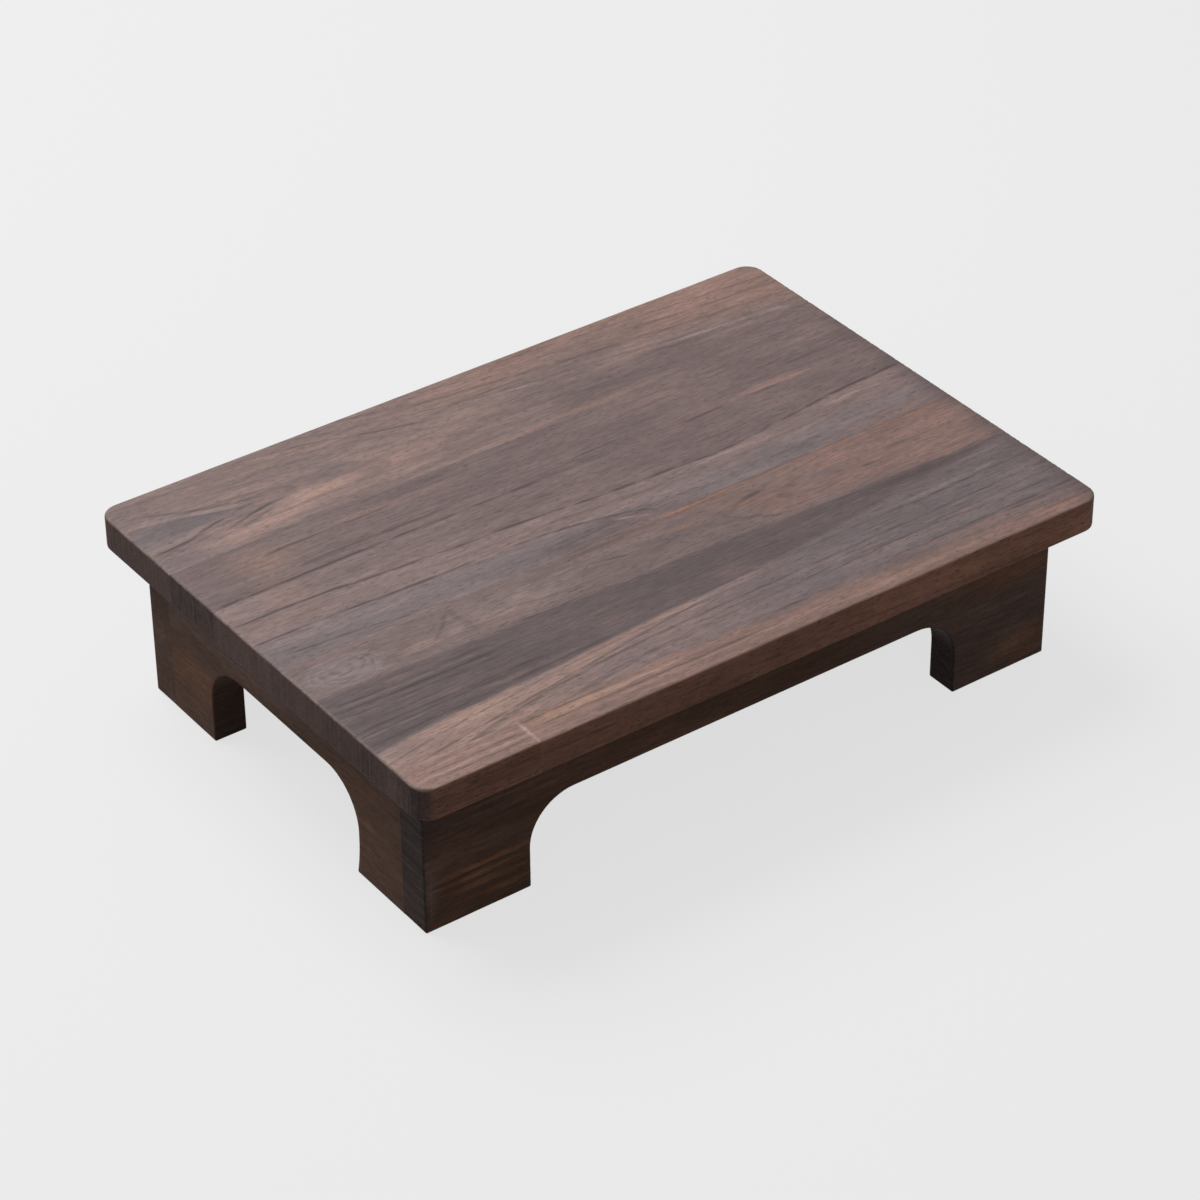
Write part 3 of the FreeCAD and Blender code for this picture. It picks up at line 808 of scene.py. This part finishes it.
# %% Brush a board
FLAT_DEPTH = 0.07 * MM
NOTCH_DEPTH = 0.5 * MM
JOINT_DEPTH = 0.5 * FLAT_DEPTH
NOTCH_REACH, NOTCH_GAIN = 1.6, 2.2
RING_PART, ROUGH_PART = 0.55, 0.45
ROUGH_FINE, ROUGH_LONG = 0.7 / MM, 0.03  # roughness across the grain, and how drawn out it is along it
SEED_STEP = Vector((11, 17, 5))
LEAST_WAY = 0.3  # a corner that is held on most of its way stays
FACES_UP, WEAR_GAIN = 0.1, 5


def brushed(board, late_wood, seed, axis, low, high, kept):
    """Wears a board down; kept says which axes a corner is held on, or None where it is left alone"""
    board.normal_update()
    worn = board.verts.layers.float.new("worn")
    moves = []
    for vert in board.verts:
        spot, way = vert.co, vert.normal.copy()
        held_axes = kept(vert)
        if held_axes is None:
            continue
        for held in held_axes:
            way[held] = 0.0
        if way.length < LEAST_WAY:
            continue
        if not held_axes and way.z > FACES_UP:
            vert[worn] = min(1.0, WEAR_GAIN * (1 - max(abs(value) for value in way)))
        way.normalize()
        from_end = min(spot[axis] - low[axis], high[axis] - spot[axis]) / MM
        from_top = (high.z - spot.z) / MM
        notch = max(0.0, 1 - from_end / NOTCH_REACH) * max(0.0, 1 - from_top / NOTCH_REACH)
        long_spot = Vector(spot) * ROUGH_FINE
        long_spot[axis] *= ROUGH_LONG
        rough = 0.5 + 0.5 * noise.noise(long_spot + seed * SEED_STEP)
        soft = RING_PART * (1.0 - late_wood(spot)) + ROUGH_PART * rough
        depth = FLAT_DEPTH * soft + NOTCH_DEPTH * notch * max(0.0, NOTCH_GAIN * rough - 1.0)
        if held_axes:
            depth = JOINT_DEPTH
        moves.append((vert, way * -depth))
    for vert, move in moves:
        vert.co += move
    return len(moves)


def finished(board, name, finish, node):
    """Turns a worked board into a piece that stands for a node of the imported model"""
    bmesh.ops.recalc_face_normals(board, faces=board.faces)
    for face in board.faces:
        face.smooth = True
    for edge in board.edges:
        edge.smooth = edge.calc_face_angle(0.0) < SHARP
    mesh = bpy.data.meshes.new(name)
    board.to_mesh(mesh)
    board.free()
    mesh.materials.append(finish)
    piece = bpy.data.objects.new(name, mesh)
    scene.collection.objects.link(piece)
    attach(piece, "root")
    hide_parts(node)
    return piece


# %% [markdown]
# The staves of the top. The edge staves carry the rounded corners of the table. Arrises along a glue joint stay
# sharp, since the joint was planed flush; those round the outside are eased.

# %% Top staves
CORNER_RADIUS = 10.0 * MM
TOP_EASE = 1.2 * MM
CORNER_STEPS, EASE_STEPS = 10, 3
EASE_END = 2.0 * MM  # a scored line just past an eased arris
SCORE_ALONG = 5.0 * MM  # how far apart the other scored lines are
SCORE_ACROSS, SCORE_UP = 0.8 * MM, 4.5 * MM
FACES_DOWN = -0.3
top_low = Vector(min(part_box(node)[0][axis] for node in stave_figures) for axis in (X, Y, Z))
top_high = Vector(max(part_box(node)[1][axis] for node in stave_figures) for axis in (X, Y, Z))


def on_outside(part, axes=(X, Y)):
    """True where a part of a stave lies on an outer side of the whole top"""
    return any(lies_at(part, axis, side[axis]) for axis in axes for side in (top_low, top_high))


for node, figure in stave_figures.items():
    low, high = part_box(node)
    finish, late_wood = brushed_wood("brushed_" + node, figure, of_top=True)
    stave = sawn_blank(low, high)
    corners = [edge for edge in stave.edges if on_outside(edge, (X,)) and on_outside(edge, (Y,))]
    rounded(stave, corners, CORNER_RADIUS, CORNER_STEPS)
    level = [edge for edge in stave.edges if lies_at(edge, Z, low.z) or lies_at(edge, Z, high.z)]
    joints = [(axis, end[axis]) for axis, end in ((X, low), (X, high), (Y, low), (Y, high))
              if abs(end[axis] - top_low[axis]) > TOUCH and abs(end[axis] - top_high[axis]) > TOUCH]
    outer = [edge for edge in level if not any(lies_at(edge, axis, value) for axis, value in joints)]
    rounded(stave, outer, TOP_EASE, EASE_STEPS)
    scored(stave, Y, spaced(low.y, high.y, SCORE_ACROSS))
    scored(stave, X, spaced(low.x, high.x, SCORE_ALONG) + [low.x + EASE_END, high.x - EASE_END])
    scored(stave, Z, spaced(low.z, high.z, SCORE_UP) + [low.z + EASE_END, high.z - EASE_END])

    def kept(vert):
        """The underside is left alone, and a corner at a glue joint is held on it"""
        if vert.normal.z < FACES_DOWN:
            return None
        return [axis for axis, value in joints if abs(vert.co[axis] - value) < TOUCH]

    worked = brushed(stave, late_wood, figure.seed, X, low, high, kept)
    finished(stave, "brushed_" + node, finish, node)
    print(node, "brushed points:", worked)

# %% [markdown]
# The four boards of the base come from browner wood. Their grain runs the long way of each board, and they were left
# matt. On the front rail a few rusty streaks run across the left foot, with painted shade over them under the top's
# overhang, and the right half is greyer, with a rusty glow at its end.

# %% Figures of the base boards
BROWN = tint(93, 69, 57)
UMBER = tint(93, 75, 68)
GREY_AND_SHADE = tint(72, 58, 54)
RUST = tint(136, 94, 66)
CLAY = tint(112, 92, 85)
RAIL_FACE, PANEL_FACE = 119.0, 186.5

base_figures = {
    "front_rail": Figure(
        (X, Z, Y), -RAIL_FACE, 1, centre=[(-200, -22), (0, -34), (200, -25)], below=[(-200, 34), (0, 40), (200, 30)],
        ring=3.0, colour=BROWN, seed=11.0, lines=0.5, end_dark=0.9,
        shades=(Shade([(-200, 0), (200, 0)], 1, 1.0, UMBER, (20, 150)),),
        patches=(
            (-155, 27, 34, 1.6, 0.9, RUST), (-160, 22, 30, 1.4, 0.9, RUST), (-150, 16, 28, 1.8, 0.7, RUST),
            # The dark grey patch high on the left, just under the top's overhang, is painted shade.
            (-140, 9, 30, 2.0, 0.5, RUST), (170, 12, 24, 12, 0.5, RUST), (-172, 62, 44, 13, 0.8, GREY_AND_SHADE),
            (-184, 42, 6, 42, 0.7, GREY_AND_SHADE), (162, 60, 46, 14, 0.45, RUST),
            (-183, 22, 5, 17, 0.8, CLAY), (-144, 38, 18, 7, 0.35, CLAY),
            (-187, 50, 1.6, 1.4, 0.9, END_COLOUR), (-187, 31, 1.4, 1.2, 0.9, END_COLOUR),
        ),
        veins=(
            Vein([(-184, 24.5), (-150, 24.5), (-128, 24)], 0.9, 0.45),
            Vein([(-184, 19), (-150, 19.4), (-128, 19)], 0.9, 0.45),
            Vein([(2, -183), (16, -183.2), (30, -183)], 0.8, 0.35, RUST, turned=True),
            Vein([(-184, 50), (-150, 50.6), (-100, 52)], 1.4, 0.5),
        ),
    ),
    "back_rail": Figure(
        (X, Z, Y), RAIL_FACE, -1, centre=[(-200, 110), (0, 122), (200, 114)], below=[(-200, 30), (0, 36), (200, 30)],
        ring=3.0, colour=BROWN, seed=12.0, lines=0.5, end_dark=0.3,
        patches=((-60, 60, 120, 8, 0.5, UMBER), (120, 40, 70, 5, 0.5, RUST)),
    ),
    "left_end_panel": Figure(
        (Y, Z, X), -PANEL_FACE, 1, centre=[(-200, 118), (0, 112), (200, 120)], below=[(-200, 26), (0, 34), (200, 28)],
        ring=3.2, colour=BROWN, seed=13.0, lines=0.45,
        patches=(
            (75, 30, 40, 14, 0.3, RUST), (0, 68, 120, 11, 0.6, CLAY), (40, 60, 90, 7, 0.7, CLAY),
            (86, 60, 30, 8, 0.6, CLAY),
        ),
    ),
    "right_end_panel": Figure(
        (Y, Z, X), PANEL_FACE, -1, centre=[(-200, -30), (0, -36), (200, -28)], below=[(-200, 30), (0, 30), (200, 36)],
        ring=3.2, colour=BROWN, seed=14.0, lines=0.5,
        patches=((-40, 64, 90, 6, 0.5, UMBER), (70, 20, 40, 6, 0.5, RUST)),
    ),
}

# %% [markdown]
# A base board is sawn square, and then an arch is sawn out of its lower edge: two straight cuts up, one along, and a
# round in each corner between them. Here the mouth of the arch is cut away from the faces of the blank, the two open
# edges are bridged to make the arch's inside, and its two corners are rounded.

# %% Saw and ease an arched board
ARCH_RADIUS = 25.0 * MM
BOARD_EASE = 0.8 * MM
ARCH_STEPS, BOARD_EASE_STEPS = 14, 2


def arched_board(low, high, axis, foot, arch_height, at_joint):
    board = sawn_blank(low, high)
    left, right, crown = low[axis] + foot, high[axis] - foot, low.z + arch_height
    scored(board, axis, (left, right))
    scored(board, Z, (crown,))
    mouth = [face for face in board.faces
             if left < face.calc_center_median()[axis] < right and face.calc_center_median().z < crown - TOUCH]
    bmesh.ops.delete(board, geom=mouth, context="FACES")
    open_edges = [edge for edge in board.edges if edge.is_boundary and not lies_at(edge, Z, low.z)]
    bmesh.ops.bridge_loops(board, edges=open_edges)
    bmesh.ops.recalc_face_normals(board, faces=board.faces)
    crown_corners = [edge for edge in board.edges if lies_at(edge, Z, crown)
                     and (lies_at(edge, axis, left) or lies_at(edge, axis, right))
                     and abs(edge.verts[0].co[axis] - edge.verts[1].co[axis]) < TOUCH]
    rounded(board, crown_corners, ARCH_RADIUS, ARCH_STEPS)
    sharp = [edge for edge in board.edges
             if len(edge.link_faces) == 2 and edge.calc_face_angle(0.0) > SHARP
             and not lies_at(edge, Z, high.z) and not at_joint(edge)]
    rounded(board, sharp, BOARD_EASE, BOARD_EASE_STEPS)
    return board


# %% [markdown]
# The rails run the full length of the base and the end panels sit between them, so the rails' end grain shows at the
# ends. The front foot of each end panel spreads a little towards the floor.

# %% Base boards
TOE_SPREAD = 2.5 * MM
TOE_STRAIGHT = 3.0 * MM
RAIL_FOOT, RAIL_ARCH = 59.0 * MM, 47.5 * MM
PANEL_FOOT, PANEL_ARCH = 37.0 * MM, 50.0 * MM
BOARD_SCORE_UP = 1.6 * MM
FACES_LEVEL = 0.8

for node, figure in base_figures.items():
    low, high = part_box(node)
    axis, through = figure.grain[0], figure.grain[2]
    is_rail = axis == X
    foot, arch = (RAIL_FOOT, RAIL_ARCH) if is_rail else (PANEL_FOOT, PANEL_ARCH)
    finish, late_wood = brushed_wood("brushed_" + node, figure)
    inner = low[through] if figure.inward < 0 else high[through]

    def at_joint(edge):
        """True for the arrises that meet the next board: a panel's ends, and the inner corners of a rail's ends"""
        at_end = lies_at(edge, axis, low[axis]) or lies_at(edge, axis, high[axis])
        return at_end and (not is_rail or lies_at(edge, through, inner))

    board = arched_board(low, high, axis, foot, arch, at_joint)
    feet = [low[axis] + foot, high[axis] - foot]
    scored(board, axis, spaced(low[axis], high[axis], SCORE_ALONG) + [feet[0] - EASE_END, feet[1] + EASE_END])
    scored(board, axis, [low[axis] + EASE_END, high[axis] - EASE_END])
    scored(board, through, [low[through] + EASE_END, high[through] - EASE_END])
    scored(board, Z, spaced(low.z, high.z, BOARD_SCORE_UP))

    def kept(vert):
        at_end = min(abs(vert.co[axis] - low[axis]), abs(vert.co[axis] - high[axis])) < TOUCH
        if abs(vert.normal.z) > FACES_LEVEL or (is_rail and at_end and abs(vert.co[through] - inner) < TOUCH):
            return None
        return [axis] if at_end and not is_rail else []

    worked = brushed(board, late_wood, figure.seed, axis, low, high, kept)
    if not is_rail:
        spring = arch - ARCH_RADIUS - TOE_STRAIGHT
        for vert in board.verts:
            in_arch = abs(vert.co.y - (low.y + foot)) < 2 * BOARD_EASE
            if in_arch and vert.co.z < spring:
                vert.co.y += TOE_SPREAD * (1 - vert.co.z / spring) ** 2
    finished(board, "brushed_" + node, finish, node)
    print(node, "brushed points:", worked)

# %% [markdown]
# Out of sight under the top are the blocks in the corners, the fluted dowels in the butt joints and the screws. They
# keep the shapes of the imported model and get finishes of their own: rough-sawn softwood, plain beech and steel with a
# dull zinc coat.

# %% Finishes of the hidden pieces
BROAD, SAW_SHARE = 0.22, 0.12
SAW_RELIEF, SCUFF_RELIEF = 0.2 * MM, 0.05 * MM


def plain_wood(name, axis, light, dark, length, width):
    """Unfinished wood with its grain along one axis, and saw marks across it"""
    finish, net, shader = new_finish(name)
    place = millimetres(net)
    fibre = marks(net, place, axis, (length, width, 0, 3.0))
    broad = marks(net, place, axis, (length / BROAD, width / BROAD, 0, 1.0))
    saw = add(net, "TexWave", {"Vector": place, "Scale": 0.28, "Distortion": 1.5},
              bands_direction="XYZ"[axis]).outputs["Fac"]
    colour = mixed(net, eased(net, fibre, 0.3, 0.7), dark, light)
    colour = mixed(net, eased(net, broad, 0.45, 0.7, 0.0, 0.5), colour, dark)
    colour = mixed(net, times(net, saw, SAW_SHARE), colour, dark)
    height = sums(net, "MULTIPLY_ADD", saw, 0.5, fibre)
    bump = add(net, "Bump", {"Height": height, "Strength": 0.3, "Distance": SAW_RELIEF}).outputs[0]
    gloss = eased(net, fibre, 0.3, 0.7, 0.82, 0.66)
    fill(net, shader, {"Base Color": colour, "Roughness": gloss, "Normal": bump, "Specular IOR Level": 0.25})
    return finish


def zinc_steel(name):
    """Steel with a dull zinc coat, scuffed in places by the driver"""
    finish, net, shader = new_finish(name)
    place = millimetres(net)
    bloom = add(net, "TexNoise", {"Vector": place, "Scale": 0.9, "Detail": 3.0}).outputs["Fac"]
    scuff = add(net, "TexNoise", {"Vector": place, "Scale": 6.0, "Detail": 2.0}).outputs["Fac"]
    colour = mixed(net, eased(net, bloom, 0.35, 0.65), tint(168, 166, 160), tint(196, 190, 172))
    colour = mixed(net, eased(net, scuff, 0.6, 0.75, 0.0, 0.5), colour, tint(120, 118, 114))
    bump = add(net, "Bump", {"Height": scuff, "Strength": 0.2, "Distance": SCUFF_RELIEF}).outputs[0]
    gloss = eased(net, bloom, 0.3, 0.7, 0.32, 0.5)
    fill(net, shader, {"Base Color": colour, "Roughness": gloss, "Normal": bump, "Metallic": 1.0})
    return finish


block_finish = plain_wood("sawn_softwood", Z, tint(186, 150, 108), tint(150, 112, 74), 40.0, 1.6)
dowel_finish = plain_wood("turned_beech", X, tint(206, 170, 128), tint(176, 136, 96), 18.0, 0.8)
screw_finish = zinc_steel("zinc_screws")
hidden_finishes = {"corner_block": block_finish, "dowels": dowel_finish, "screws": screw_finish}
for node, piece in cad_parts.items():
    for ending, finish in hidden_finishes.items():
        if node.endswith(ending):
            piece.data.materials.clear()
            piece.data.materials.append(finish)
            print(node, "finished in", finish.name)
